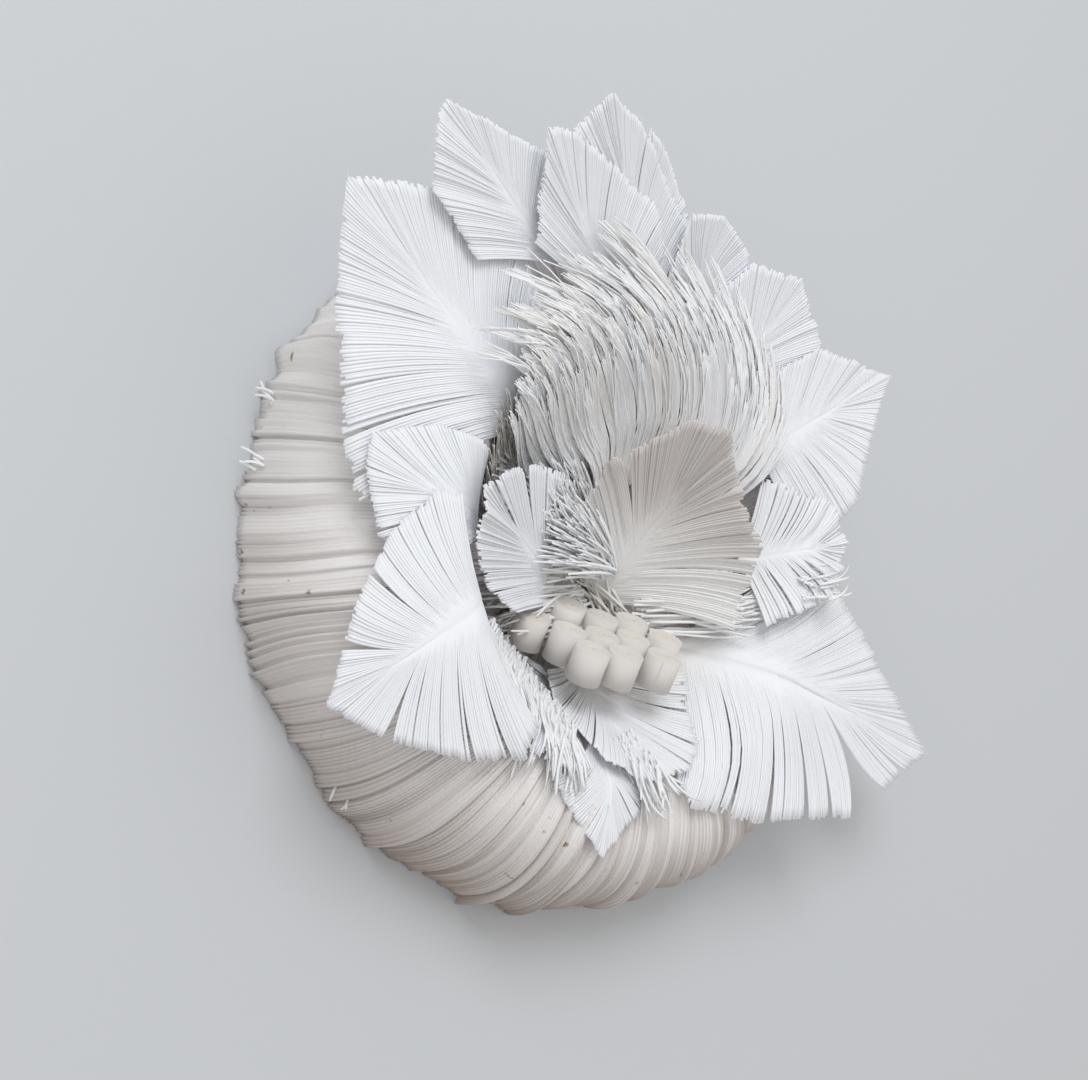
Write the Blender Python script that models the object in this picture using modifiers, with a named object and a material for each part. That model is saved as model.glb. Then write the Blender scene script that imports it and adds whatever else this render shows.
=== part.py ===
"""Paper cut sculpture: a gathered paper pod that carries fringed leaves, a bank of fine
fringes, two standing petals and a cluster of rolled coils.

Metres, +Z up. The origin is the middle of the flat back. Azimuths are in degrees from +X:
0 is the low front edge, 90 the right-hand side, 180 the crown and 270 the tall left side.
"""

import math
from dataclasses import dataclass
from functools import partial

import bmesh
import bpy
import numpy as np

MM = 0.001

# Unit of the sizes and places in the tables of leaves, petals, fringes and coils
UNIT = 1.0 * MM

# Paper: thickness of the modelled sheet, the gap kept between sheets, and one layer of both
SHEET = 0.3 * MM
GAP = 0.3 * MM
SAG = 0.4 * MM
LAYER = SHEET + GAP + SAG
WELD = 0.001 * MM
FULL_TURN = 360.0

PAPER_COLOUR = (0.80, 0.82, 0.86)
COIL_COLOUR = (0.76, 0.74, 0.70)
CARD_COLOUR = (0.72, 0.70, 0.66)
PAPER_ROUGHNESS = 0.85

# Pod: the gathered body, wider and taller on its left side
RIM_RADIUS = 50.0 * MM
RIM_NARROWING = 4.4 * MM
WIDE_SIDE = 245.0
CREST_RADIUS = 35.0 * MM
CREST_NARROWING = 6.0 * MM
POD_HEIGHT = 24.0 * MM
POD_FALL = 8.0 * MM
TALL_SIDE = 270.0
WALL_ROUNDNESS = 2.3
WALL_ROWS = 5
HOLLOW_FLOOR = 8.0 * MM
FLOOR_RADIUS = 12.0 * MM
FLOOR_WIDENING = 8.0 * MM
DEEP_SIDE = 275.0
DEEP_NARROWNESS = 4.0
HOLLOW_ROWS = 4

# Gathers: ridges of the paper that wraps the pod, and how far they swirl on their way to the crest
GATHERS = 60
GATHER_DEPTH = 0.5 * MM
SWIRL = 12.0
SWIRL_SWING = 14.0
SWIRL_SIDE = 340.0

# Card disc let into the back
DISC_MARGIN = 2.6 * MM
DISC_RADIUS = RIM_RADIUS - RIM_NARROWING - DISC_MARGIN
DISC_THICKNESS = 1.2 * MM
DISC_SIDES = 48

# Apron: slopes at which the leaves outside the crest rise at the crown and droop at the front
CROWN_SIDE = 170.0
CROWN_RISE = 0.62
CROWN_NARROWNESS = 2.5
FRONT_SIDE = 290.0
FRONT_DROOP = -0.55
FRONT_NARROWNESS = 3.0
SIDE_SLOPE = -0.1
APRON_BEND = 12.0 * MM

# Leaves: share of a barb left uncut, share of the spine that carries barbs, forward bow of the
# barbs, width of the slits and how much every other barb is shorter
UNCUT = 0.3
SPINE_SHARE = 0.62
BARB_BOW = 0.2
SLIT = 0.12
RAGGED = 0.05
BARB_BEND = 0.65
LONG_BARBS = (-1.0, -BARB_BEND, -UNCUT, 0.0, UNCUT, BARB_BEND, 1.0)
SHORT_BARBS = (-1.0, -UNCUT, 0.0, UNCUT, 1.0)
FEW_BARBS = 6

# Fringes: layers of leaves that pass below them, the distance in which they climb over these,
# and the radii at which a strand bends on its way up the wall of the hollow
LAYERS_BELOW = 5.0
CLIMB = 8.0 * MM
STRAND_BENDS = (20.0 * MM, 27.0 * MM)
STRAND_REACHES = (0.0, UNCUT, BARB_BEND, 1.0)

# Coils: strips rolled into short tubes that lean towards the crown
COIL_RADIUS = 2.2 * MM
COIL_BORE = 0.5 * MM
COIL_HEIGHT = 4.4 * MM
COIL_SEAM = 0.2 * MM
COIL_SIDES = 12
COIL_HEADING = 163.0
COIL_RISE = 33.0
COIL_LEVEL = 1.0
CLUSTER_PLACE = (19.2, 322.4)
CLUSTER_HEIGHT = 18.6 * MM


@dataclass
class Leaf:
    """A leaf laid over the pod. Root and tip are (radius, azimuth). Each side is its cut edge, from
    the heel, where the first barb ends, over its corners, as (along the leaf, out from the spine).
    The level counts the sheets below it, and the lift raises its tip. Lengths are in the unit."""

    name: str
    root: tuple
    tip: tuple
    left: tuple
    right: tuple
    level: float
    lift: float
    barbs: int


@dataclass
class Petal:
    """A leaf that stands free: its root as (radius, azimuth), its length, the heading, rise and roll
    of its plane in degrees, its two sides as on a leaf, and its cup."""

    name: str
    root: tuple
    length: float
    heading: float
    rise: float
    roll: float
    left: tuple
    right: tuple
    cup: float
    barbs: int


@dataclass
class Fringe:
    """A curved comb of paper around the hollow: azimuths of its two ends, radius of its root,
    radii of its tips at both ends and how much farther they reach midway."""

    name: str
    ends: tuple
    root: float
    tips: tuple
    arch: float
    level: float
    strands: int


LEAVES = [
    Leaf("left_leaf", (24, 223), (62, 220), ((13, 26), (18, 22), (31, 9)),
         ((7, 11), (17, 16), (30, 8)), 0.5, 1, 10),
    Leaf("side_leaf", (26, 257), (46, 250), ((10, 8), (17, 7)), ((4, 9), (13, 8), (21, 4)), 1.7, 0, 7),
    Leaf("front_leaf", (32, 273), (53, 280), ((2, 16), (6, 18), (12, 14), (18, 7)),
         ((-4, 12), (-1, 14), (6, 13), (14, 8)), 2.3, 0, 9),
    Leaf("narrow_leaf", (21, 292), (34, 312), ((3, 6), (13, 4)), ((9, 8), (15, 5)), 1, 0, 4),
    Leaf("lower_leaf", (27, 323), (41, 330), ((5, 5), (9, 5)), ((5, 9), (8, 7)), 0, 0, 5),
    Leaf("apron_leaf", (16, 322), (31, 335), ((2, 16), (12, 12), (15, 8)),
         ((1, 6), (7, 9), (13, 6)), 2, 0, 6),
    Leaf("right_leaf", (15, 24), (60, 49), ((15, 14), (24, 14), (30, 10)),
         ((-3, 19), (1, 23), (14, 21), (34, 14)), 0.3, 0, 11),
    Leaf("twig_leaf", (18, 75), (34, 80), ((3, 11), (15, 6)), ((0, 10), (12, 7)), 4, 0, 6),
    Leaf("crown_leaf_1", (38, 195), (61, 207), ((10, 9), (20, 8), (23, 5), (25, 2)),
         ((1, 6), (11, 6), (22, 2)), 1.5, 2, 7),
    Leaf("crown_leaf_2", (28, 174), (53, 196), ((20, 8), (26, 2)), ((3, 9), (10, 12), (26, 4)), 2.3, 3, 8),
    Leaf("crown_leaf_3", (33, 166), (55, 184), ((16, 7), (25, 7)), ((4, 9), (14, 6), (21, 4)), 1, 3, 7),
    Leaf("crown_leaf_4", (33, 164), (52, 175), ((11, 3), (18, 2)), ((3, 9), (10, 6), (17, 3)), 0, 2, 5),
    Leaf("crown_leaf_5", (28, 152), (44, 158), ((8, 6), (16, 5)), ((5, 9), (13, 7)), 1, 3, 6),
    Leaf("crown_leaf_6", (24, 134), (44, 136), ((9, 11), (17, 8)), ((9, 9), (16, 9)), 2, 2, 6),
    Leaf("crown_leaf_7", (24, 113), (48, 110), ((7, 9), (15, 9)), ((-1, 12), (8, 15), (12, 14)), 3, 2, 8),
]

PETALS = [
    Petal("centre_petal", (7.3, 326), 33.4, 161, 54, -15,
          ((10, 10), (18.6, 10.6), (23, 11.4), (27, 8.6), (32.5, 4.5)),
          ((6.6, 19), (20.6, 14), (25, 8), (29, 4)), 2, 10),
    Petal("left_petal", (9.2, 303), 35, 235, 36, 0, ((20, 8), (26, 8), (32, 6)),
          ((15, 8), (20, 9), (25, 7), (31, 4)), 2, 6),
]

FRINGES = [
    Fringe("fringe_1", (112, 232), 16.0, (32, 41), 8, 0, 13),
    Fringe("fringe_2", (110, 228), 15.0, (31, 39), 7, 1, 12),
    Fringe("fringe_3", (108, 224), 14.0, (30, 37), 6, 2, 11),
    Fringe("fringe_4", (112, 218), 13.0, (30, 35), 4, 3, 10),
    Fringe("fringe_5", (118, 210), 12.0, (29, 32), 2, 4, 8),
]

# Coils as units to the right and down the wall of the hollow from the middle of the cluster
COILS = [
    (-8.9, 7.4),
    (-5.1, 4.3),
    (-4.5, -0.6),
    (0.4, -0.9),
    (7.0, -0.5),
    (-2.9, 9.0),
    (-0.3, 3.9),
    (4.6, 3.8),
    (10.7, 5.0),
    (2.2, 8.4),
    (7.2, 8.4),
]


def swing(azimuth, middle):
    """0 at the middle azimuth, 1 at the opposite side."""
    return (1.0 - np.cos(np.radians(azimuth - middle))) / 2.0


def rim_radius(azimuth):
    return RIM_RADIUS - RIM_NARROWING * swing(azimuth, WIDE_SIDE)


def crest_radius(azimuth):
    return CREST_RADIUS - CREST_NARROWING * swing(azimuth, TALL_SIDE)


def crest_height(azimuth):
    return POD_HEIGHT - POD_FALL * swing(azimuth, TALL_SIDE)


def floor_radius(azimuth):
    """Radius of the hollow's floor, which is wider on its left side."""
    return FLOOR_RADIUS + FLOOR_WIDENING * (1.0 - swing(azimuth, DEEP_SIDE)) ** DEEP_NARROWNESS


def hollow_height(radius, azimuth):
    """Height of the pod inside its crest: a level floor and an S-shaped wall."""
    foot = floor_radius(azimuth)
    share = (radius - foot) / (crest_radius(azimuth) - foot)
    share = np.clip(share, 0.0, 1.0)
    blend = share * share * (3.0 - 2.0 * share)
    return HOLLOW_FLOOR + (crest_height(azimuth) - HOLLOW_FLOOR) * blend


def apron_slope(azimuth):
    """Slope of the leaves outside the crest: up at the crown, down at the front."""
    crown = (1.0 - swing(azimuth, CROWN_SIDE)) ** CROWN_NARROWNESS
    front = (1.0 - swing(azimuth, FRONT_SIDE)) ** FRONT_NARROWNESS
    return SIDE_SLOPE + (CROWN_RISE - SIDE_SLOPE) * crown + (FRONT_DROOP - SIDE_SLOPE) * front


def rest_height(radius, azimuth):
    """Underside of the first sheet: it follows the hollow, then runs out over the crest."""
    out = np.maximum(radius - crest_radius(azimuth), 0.0)
    apron = apron_slope(azimuth) * out * out / (out + APRON_BEND)
    return hollow_height(radius, azimuth) + apron + GATHER_DEPTH + GAP


def direction(azimuth):
    """Unit vector in the level plane."""
    angle = math.radians(azimuth)
    return np.array((math.cos(angle), math.sin(angle)))


def polar_point(place):
    """Plan position of a (radius, azimuth) pair."""
    return place[0] * UNIT * direction(place[1])


def edge_points(side, length, share):
    """Ends of the barbs along one cut edge, from its heel over its corners to the tip."""
    knots = np.array([*side, (length / UNIT, 0.0)]) * UNIT
    steps = np.hypot(*np.diff(knots, axis=0).T)
    travelled = np.concatenate(([0.0], np.cumsum(steps)))
    distance = share * travelled[-1]
    return np.interp(distance, travelled, knots[:, 0]), np.interp(distance, travelled, knots[:, 1])


def blade_point(left, right, length, share, reach):
    """Place on a flat leaf as (along, out): the share runs up the spine from 0 to 1, and the
    reach runs along the barbs from -1 at the right edge over 0 at the spine to 1 at the left."""
    spine = share * SPINE_SHARE * length
    left_along, left_out = edge_points(left, length, share)
    right_along, right_out = edge_points(right, length, share)
    on_left = reach > 0.0
    end_along = np.where(on_left, left_along, right_along)
    end_out = np.where(on_left, left_out, -right_out)
    barb = np.abs(reach)
    bow = BARB_BOW * np.abs(end_out) * barb * (1.0 - barb)
    return spine + (end_along - spine) * barb + bow, end_out * barb


def leaf_point(leaf, share, reach):
    """A leaf laid on the sheets below it, with its tip lifted."""
    root = polar_point(leaf.root)
    span = polar_point(leaf.tip) - root
    length = np.hypot(*span)
    ahead = span / length
    along, out = blade_point(leaf.left, leaf.right, length, share, reach)
    x = root[0] + ahead[0] * along - ahead[1] * out
    y = root[1] + ahead[1] * along + ahead[0] * out
    rest = rest_height(np.hypot(x, y), np.degrees(np.arctan2(y, x)))
    z = rest + leaf.level * LAYER + leaf.lift * UNIT * (along / length) ** 2
    return np.stack((x, y, z), axis=-1)


def petal_axes(petal):
    """Axes of a petal's plane: along its spine, out to its left, and up from its face."""
    heading = math.radians(petal.heading)
    rise = math.radians(petal.rise)
    roll = math.radians(petal.roll)
    along = np.array((math.cos(rise) * math.cos(heading), math.cos(rise) * math.sin(heading), math.sin(rise)))
    level = np.array((-math.sin(heading), math.cos(heading), 0.0))
    face = np.cross(along, level)
    left = level * math.cos(roll) + face * math.sin(roll)
    return along, left, np.cross(along, left)


def petal_point(petal, share, reach):
    """A petal that rises from the floor of the hollow, its edges cupped towards its face."""
    length = petal.length * UNIT
    ahead, left, face = petal_axes(petal)
    along, out = blade_point(petal.left, petal.right, length, share, reach)
    cup = petal.cup * UNIT * (out / (length / 2.0)) ** 2
    root = np.array((*polar_point(petal.root), HOLLOW_FLOOR + GAP))
    return root + along[..., None] * ahead + out[..., None] * left + cup[..., None] * face


def fringe_point(fringe, share, reach):
    """A fringe that climbs the wall of the hollow: the share runs around it, the reach outwards."""
    first, last = fringe.ends
    azimuth = last + (first - last) * share
    around = (azimuth - first) / (last - first)
    tip = fringe.tips[0] + (fringe.tips[1] - fringe.tips[0]) * around
    tip = (tip + fringe.arch * 4.0 * around * (1.0 - around)) * UNIT
    root = fringe.root * UNIT
    stretches = zip(STRAND_REACHES, STRAND_REACHES[1:], (root, *STRAND_BENDS), (*STRAND_BENDS, tip))
    radius = root
    for start, end, inner, outer in stretches:
        radius = radius + (outer - inner) * np.clip((reach - start) / (end - start), 0.0, 1.0)
    climb = np.clip((radius - root) / CLIMB, 0.0, 1.0)
    climb = climb * climb * (3.0 - 2.0 * climb)
    z = rest_height(radius, azimuth) + (fringe.level + LAYERS_BELOW * climb) * LAYER
    angle = np.radians(azimuth)
    return np.stack((radius * np.cos(angle), radius * np.sin(angle), z), axis=-1)


def gather_azimuth(share, climb):
    """Azimuth along one gather: it swirls on its way up, most on the lower front."""
    start = FULL_TURN * share
    swirl = SWIRL + SWIRL_SWING * np.cos(np.radians(start - SWIRL_SIDE))
    return start + swirl * climb


def pod_point(share, row):
    """The pod: rows -2 and -1 line the recess in its back, the next climb the rounded outer
    wall to the crest, and the last go down into the hollow."""
    outer = np.clip(row / WALL_ROWS, 0.0, 1.0)
    inner = np.clip((row - WALL_ROWS) / HOLLOW_ROWS, 0.0, 1.0)
    azimuth = gather_azimuth(share, outer)
    crest = crest_radius(azimuth)
    power = 2.0 / WALL_ROUNDNESS
    climb = outer * np.pi / 2.0
    wall_radius = crest + (rim_radius(azimuth) - crest) * np.cos(climb) ** power
    wall_height = crest_height(azimuth) * np.sin(climb) ** power
    hollow_radius = crest + (floor_radius(azimuth) - crest) * inner
    recess_height = np.where(row < -1, DISC_THICKNESS + GAP, 0.0)
    ridge = GATHER_DEPTH * np.cos(share * GATHERS * 2.0 * np.pi) / 2.0
    sideways = np.cos(climb) * ridge
    upwards = np.sin(climb) * (1.0 - inner) * ridge
    stretches = [row < 0, row <= WALL_ROWS]
    radius = np.select(stretches, [DISC_RADIUS + GAP, wall_radius + sideways], hollow_radius)
    height = np.select(stretches, [recess_height, wall_height], hollow_height(hollow_radius, azimuth))
    angle = np.radians(azimuth)
    return np.stack((radius * np.cos(angle), radius * np.sin(angle), height + upwards), axis=-1)


def coil_axes():
    """Axes of the coil cluster: to its right, down the wall of the hollow, and along the coils."""
    heading = math.radians(COIL_HEADING)
    rise = math.radians(COIL_RISE)
    axis = np.array((math.cos(rise) * math.cos(heading), math.cos(rise) * math.sin(heading), math.sin(rise)))
    right = np.array((*direction(COIL_HEADING - 90.0), 0.0))
    return right, np.cross(axis, right), axis


def coil_ring(share, radius):
    """Offsets from a coil's axis of points around it."""
    right, down, _ = coil_axes()
    angle = 2.0 * np.pi * np.asarray(share)[..., None]
    return radius * (np.cos(angle) * right + np.sin(angle) * down)


def coil_seat(place):
    """Middle of a coil's foot: level with the others, or raised until it clears what is below."""
    right, down, axis = coil_axes()
    middle = np.array((*polar_point(CLUSTER_PLACE), CLUSTER_HEIGHT))
    start = middle + (place[0] * right + place[1] * down) * UNIT
    ring = coil_ring(np.arange(COIL_SIDES) / COIL_SIDES, COIL_RADIUS + COIL_SEAM)
    heights = np.arange(0.0, 2.0 * POD_HEIGHT, GAP / 3.0)
    points = start + ring + heights[:, None, None] * axis
    x, y, z = np.moveaxis(points, -1, 0)
    rest = rest_height(np.hypot(x, y), np.degrees(np.arctan2(y, x))) + COIL_LEVEL * LAYER
    clear = np.all(z >= rest, axis=1)
    return start + heights[np.argmax(clear)] * axis


def coil_point(seat, share, row):
    """A rolled strip: its outer turn grows by the seam, then steps back where the strip ends.
    Rows run up the outside and down through the bore, and the fourth meets the first."""
    _, _, axis = coil_axes()
    row = row % 4
    outside = (row < 2)[..., None]
    turn = COIL_RADIUS + COIL_SEAM * (share % 1.0)
    radius = np.where(outside, turn[..., None], COIL_BORE)
    height = np.where((row == 1) | (row == 2), COIL_HEIGHT, 0.0)
    return seat + coil_ring(share, radius) + height[..., None] * axis


def paper_material(name, colour):
    material = bpy.data.materials.new(name)
    material.use_nodes = True
    shader = material.node_tree.nodes["Principled BSDF"]
    shader.inputs["Base Color"].default_value = (*colour, 1.0)
    shader.inputs["Roughness"].default_value = PAPER_ROUGHNESS
    shader.inputs["Metallic"].default_value = 0.0
    return material


def add_object(name, bm, colour, collection):
    mesh = bpy.data.meshes.new(name)
    bm.to_mesh(mesh)
    bm.free()
    mesh.materials.append(paper_material(name + " paper", colour))
    item = bpy.data.objects.new(name, mesh)
    collection.objects.link(item)
    return item


def grid_cells(bm, columns, rows):
    """Column and row number of each corner of a unit grid."""
    corners = np.array([vert.co for vert in bm.verts])
    return np.rint((corners[:, 0] + 0.5) * columns), np.rint((corners[:, 1] + 0.5) * rows)


def place_corners(bm, points):
    for vert, point in zip(bm.verts, points):
        vert.co = point


def cut_slits(bm, columns, reaches):
    """Take out the faces between the barbs, beyond their uncut stretch."""
    rows = len(reaches) - 1
    slits = []
    for face in bm.faces:
        middle = face.calc_center_median()
        column = int((middle.x + 0.5) * columns)
        row = int((middle.y + 0.5) * rows)
        between_barbs = column % 2 == 1
        nearest = min(abs(reaches[row]), abs(reaches[row + 1]))
        if between_barbs and nearest >= UNCUT:
            slits.append(face)
    bmesh.ops.delete(bm, geom=slits, context="FACES")


def add_comb(name, barbs, reaches, place, colour, collection):
    """A sheet of paper cut into barbs: pairs of grid columns are barbs, with slits between."""
    columns = 2 * barbs - 1
    rows = len(reaches) - 1
    bm = bmesh.new()
    bmesh.ops.create_grid(bm, x_segments=columns, y_segments=rows, size=0.5)
    cut_slits(bm, columns, reaches)
    column, row = grid_cells(bm, columns, rows)
    barb, second_edge = np.divmod(column, 2)
    share = (barb + np.where(second_edge == 0, SLIT / 2.0, 1.0 - SLIT / 2.0)) / barbs
    reach = np.array(reaches)[row.astype(int)]
    shorter = (np.abs(reach) == 1.0) & (barb % 2 == 1)
    place_corners(bm, place(share, np.where(shorter, reach * (1.0 - RAGGED), reach)))
    item = add_object(name, bm, colour, collection)
    solidify = item.modifiers.new("Paper thickness", "SOLIDIFY")
    solidify.thickness = SHEET
    solidify.offset = 1.0
    return item


def wrapped_grid(columns, rows, place):
    """A grid closed around into a tube, its corners placed by share of the turn and row."""
    bm = bmesh.new()
    bmesh.ops.create_grid(bm, x_segments=columns, y_segments=rows, size=0.5)
    column, row = grid_cells(bm, columns, rows)
    place_corners(bm, place(column / columns, row))
    bmesh.ops.remove_doubles(bm, verts=bm.verts, dist=WELD)
    return bm


def add_disc(collection):
    bm = bmesh.new()
    bmesh.ops.create_cone(
        bm, cap_ends=True, segments=DISC_SIDES, radius1=DISC_RADIUS, radius2=DISC_RADIUS, depth=DISC_THICKNESS
    )
    bmesh.ops.translate(bm, verts=bm.verts, vec=(0.0, 0.0, DISC_THICKNESS / 2.0))
    add_object("base_disc", bm, CARD_COLOUR, collection)


def add_pod(collection):
    """The gathered body, with a recess for the disc in its back."""
    columns = 2 * GATHERS
    rows = 2 + WALL_ROWS + HOLLOW_ROWS
    bm = wrapped_grid(columns, rows, lambda share, row: pod_point(share, row - 2.0))
    bmesh.ops.holes_fill(bm, edges=[edge for edge in bm.edges if edge.is_boundary], sides=0)
    add_object("pod", bm, PAPER_COLOUR, collection)


def add_leaves(collection):
    for leaf in LEAVES:
        reaches = LONG_BARBS if leaf.barbs > FEW_BARBS else SHORT_BARBS
        place = partial(leaf_point, leaf)
        add_comb(leaf.name, leaf.barbs, reaches, place, PAPER_COLOUR, collection)


def add_petals(collection):
    for petal in PETALS:
        place = partial(petal_point, petal)
        add_comb(petal.name, petal.barbs, LONG_BARBS, place, PAPER_COLOUR, collection)


def add_fringes(collection):
    for fringe in FRINGES:
        place = partial(fringe_point, fringe)
        add_comb(fringe.name, fringe.strands, STRAND_REACHES, place, PAPER_COLOUR, collection)


def add_coils(collection):
    """Rolled strips: a grid closed both ways, around the coil and through its bore."""
    for number, place in enumerate(COILS, start=1):
        seat = coil_seat(place)
        bm = wrapped_grid(COIL_SIDES, 4, partial(coil_point, seat))
        add_object(f"coil_{number:02d}", bm, COIL_COLOUR, collection)


def main():
    for item in list(bpy.data.objects):
        bpy.data.objects.remove(item)
    collection = bpy.data.collections.new("Paper cut sculpture")
    bpy.context.scene.collection.children.link(collection)
    add_disc(collection)
    add_pod(collection)
    add_leaves(collection)
    add_fringes(collection)
    add_petals(collection)
    add_coils(collection)


main()
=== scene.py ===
"""Paper cut sculpture: the looks of every sheet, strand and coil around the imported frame.

Metres, +Z up, in the frame's own axes. Azimuths are in degrees from +X: 0 is the low front edge,
90 the right-hand side, 180 the crown and 270 the tall left side.
"""

import math
from dataclasses import dataclass
from functools import partial

import bpy
import numpy as np
from bpy.props import FloatProperty, FloatVectorProperty, PointerProperty
from mathutils import Matrix, Vector


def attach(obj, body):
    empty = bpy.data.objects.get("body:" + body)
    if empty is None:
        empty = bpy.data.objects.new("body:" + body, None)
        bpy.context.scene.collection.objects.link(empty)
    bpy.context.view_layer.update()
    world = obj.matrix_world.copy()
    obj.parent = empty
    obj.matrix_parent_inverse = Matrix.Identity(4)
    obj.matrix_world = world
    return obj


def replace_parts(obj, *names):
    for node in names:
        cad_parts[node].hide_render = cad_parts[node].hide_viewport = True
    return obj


bl_info = {
    "name": "Paper Cut Sculpture",
    "version": (1, 0, 0),
    "blender": (4, 5, 0),
    "location": "3D View > Sidebar > Paper",
    "description": "Fringed leaves, fine fringes, petals and coils on a gathered paper pod",
    "category": "Add Mesh",
}

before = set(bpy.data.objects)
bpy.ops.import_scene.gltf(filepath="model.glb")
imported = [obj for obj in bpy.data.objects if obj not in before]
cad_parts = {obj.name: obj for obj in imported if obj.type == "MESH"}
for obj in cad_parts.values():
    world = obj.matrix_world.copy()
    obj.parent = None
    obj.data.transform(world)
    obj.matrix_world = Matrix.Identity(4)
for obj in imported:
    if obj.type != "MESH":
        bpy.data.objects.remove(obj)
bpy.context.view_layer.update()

MM = 0.001


# Pod: its form, as in the part's source
RIM_RADIUS = 50 * MM
RIM_NARROWING = 4.4 * MM
WIDE_SIDE = 245
CREST_RADIUS = 35 * MM
CREST_NARROWING = 6 * MM
POD_HEIGHT = 24 * MM
POD_FALL = 8 * MM
TALL_SIDE = 270
WALL_ROUNDNESS = 2.3
HOLLOW_FLOOR = 8 * MM
FLOOR_RADIUS = 12 * MM
FLOOR_WIDENING = 8 * MM
DEEP_SIDE = 275
DEEP_NARROWNESS = 4
DISC_RADIUS = 43 * MM
DISC_THICKNESS = 1.2 * MM
CARD_GAP = 0.3 * MM

# Pod: swirl of its strips and how far they waver, in degrees, with the knots and seeds for that
SWIRL = -0.4
SWIRL_SWING = 7.4
SWIRL_SIDE = 193
SWIRL_POWER = 1.2
WAVER = 0.8
WAVERS = ((37, 3), (43, 31))

# Pod: rows and columns of points, its gathers, and the steps of its strips and of their bands. The
# number of fine gathers changes on the way up, from one share of the wall over another.
WALL_ROWS = 23
HOLLOW_ROWS = 9
STRIP_COLUMNS = (0.04, 0.5, 0.96)
GATHERS = 60
GATHER_DEPTH = 0.5 * MM
FINE_GATHERS = (131, 143)
FINE_GATHER_DEPTH = 0.55 * MM
GATHER_CHANGE = (1 / 7, 5 / 7)
BAND = (2, 6)
BAND_STEP = 0.6 * MM
BAND_LIFT = 0.4 * MM
STRIP_STEP = 0.24 * MM
STRIP_SPREAD = 0.6
HOLLOW_CALM = 0.5

# Pod: painted shade between its bands, low at its front and in its hollow, and its stains
LINE_SHADE = 0.28
LINE_NARROWNESS = 4
FRONT_SHADE_SIDE = 345
FRONT_SHADE_NARROWNESS = 2
FRONT_SHADE_LOWNESS = 1.4
POD_HOLLOW_SHADE = 0.3
SPECK_SIZE = 2 * MM
SPECK_RARITY = 0.74
SPECK_CONTRAST = 4

# Sheets on the pod: height of the first one and of each further one
FIRST_SHEET = GATHER_DEPTH + CARD_GAP
LAYER = MM

# Apron: slopes at which the leaves outside the crest rise at the crown and droop at the front
CROWN_SIDE = 170
CROWN_RISE = 0.62
CROWN_NARROWNESS = 2.5
FRONT_SIDE = 290
FRONT_DROOP = -0.55
FRONT_NARROWNESS = 3
SIDE_SLOPE = -0.1
APRON_BEND = 12 * MM

# Leaves: share of the spine that carries barbs, forward bow of the barbs, how far they are uncut,
# over how much more of their reach they come free, and their rows of points
SPINE_SHARE = 0.62
BARB_BOW = 0.2
UNCUT = 0.13
UNCUT_SPREAD = 0.4
FREE_OVER = 0.3
LEAF_ROWS = (0, 0.015, 0.05, 0.1, 0.16, 0.24, 0.34, 0.46, 0.58, 0.7, 0.81, 0.91, 1)
SLIT = 0.03

# Leaves: barbs in a bundle, and relief, draw and shortfall of bundles and single barbs
BUNDLE = (3, 9)
BUNDLE_PINCH = 0.105
BUNDLE_LIFT = 0.15 * MM
BUNDLE_TILT = 0.1 * MM
BUNDLE_SHORTFALL = 0.02
BARB_CROWN = 0.025 * MM
BARB_TILT = 0.03 * MM
BARB_LIFT = 0.06 * MM
BARB_SHORTFALL = 0.04
SPINE_DEPTH = 0.15 * MM
SPINE_WIDTH = 0.04
CREASE_WIDTH = 0.012
LEAF_WAVE = 0.3 * MM
LEAF_WAVE_KNOTS = 9

# Leaves: knots and sizes of their barbs' sway, and how soon a split is forgotten along the spine
SWAYS = ((14, 0.006), (37, 0.003))
SPLIT_FADE = 0.1

# Leaves and petals: painted shade, each over a stretch given by its start and its width in mm
LEAF_HOLLOW_SHADE = 0.6
LEAF_HOLLOW_SHADE_STRETCH = (12, 12)
FOOT_SHADE = 0.5
FOOT_SHADE_STRETCH = (2, 8)
TIP_SHADE_STRETCH = (9, 14)

# Fringes: how strands climb over the sheets below
LAYERS_BELOW = 5
LAYERS_SINK = 0.5
CLIMB = 8 * MM
ROOT_SHIFT = 6 * MM
STRAND_ROWS = 9
LEAN_POWER = 1.3
RISE_POWER = 1.5

# Fringes: sideways lean of the first, middle and last strand, in degrees
FIRST_LEAN = 26
MIDDLE_LEAN = 42
LAST_LEAN = 8

# Fringes: strands in a lock, and how locks, strands and the few stray ones differ
LOCK = (10, 36)
LOCK_LEAN = 4
LOCK_RISE = 0.14 * MM
LOCK_PINCH = 0.28
LOCK_CROWN = 0.1 * MM
LOCK_END = (0.7, 1)
LOCK_POINT = 0.2
# Warm tone for locks at random, and painted shade at their edges
LOCK_TONE = 0.3
LOCK_EDGE_SHADE = 0.1
STRAND_PLACE = (0.2, 0.8)
STRAND_LEAN = 1.2
STRAND_RISE = 0.08 * MM
STRAND_ROLL = 0.2
STRAND_SHORTFALL = 0.12
# Painted shade at the strands' roots, over this share of their reach
ROOT_SHADE_REACH = 0.25
STRAY_SHARE = 0.07
STRAY_LEAN = 14
STRAY_RISE = 1.3 * MM

# Tufts: strips in a lock, the share of their swerve that they have in common, and how they differ
TUFT_LOCK = (3, 8)
TUFT_TOGETHER = 0.7
TUFT_TURN = (-0.2, 1.2)
TUFT_BEND = (0.2, 1.8)
TUFT_TONE = (0.4, 1)
TUFT_RISE = 14
TUFT_ROLL = 0.5
TUFT_DEPTH = 1.5 * MM
TUFT_REST = 0.2 * MM

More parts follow.
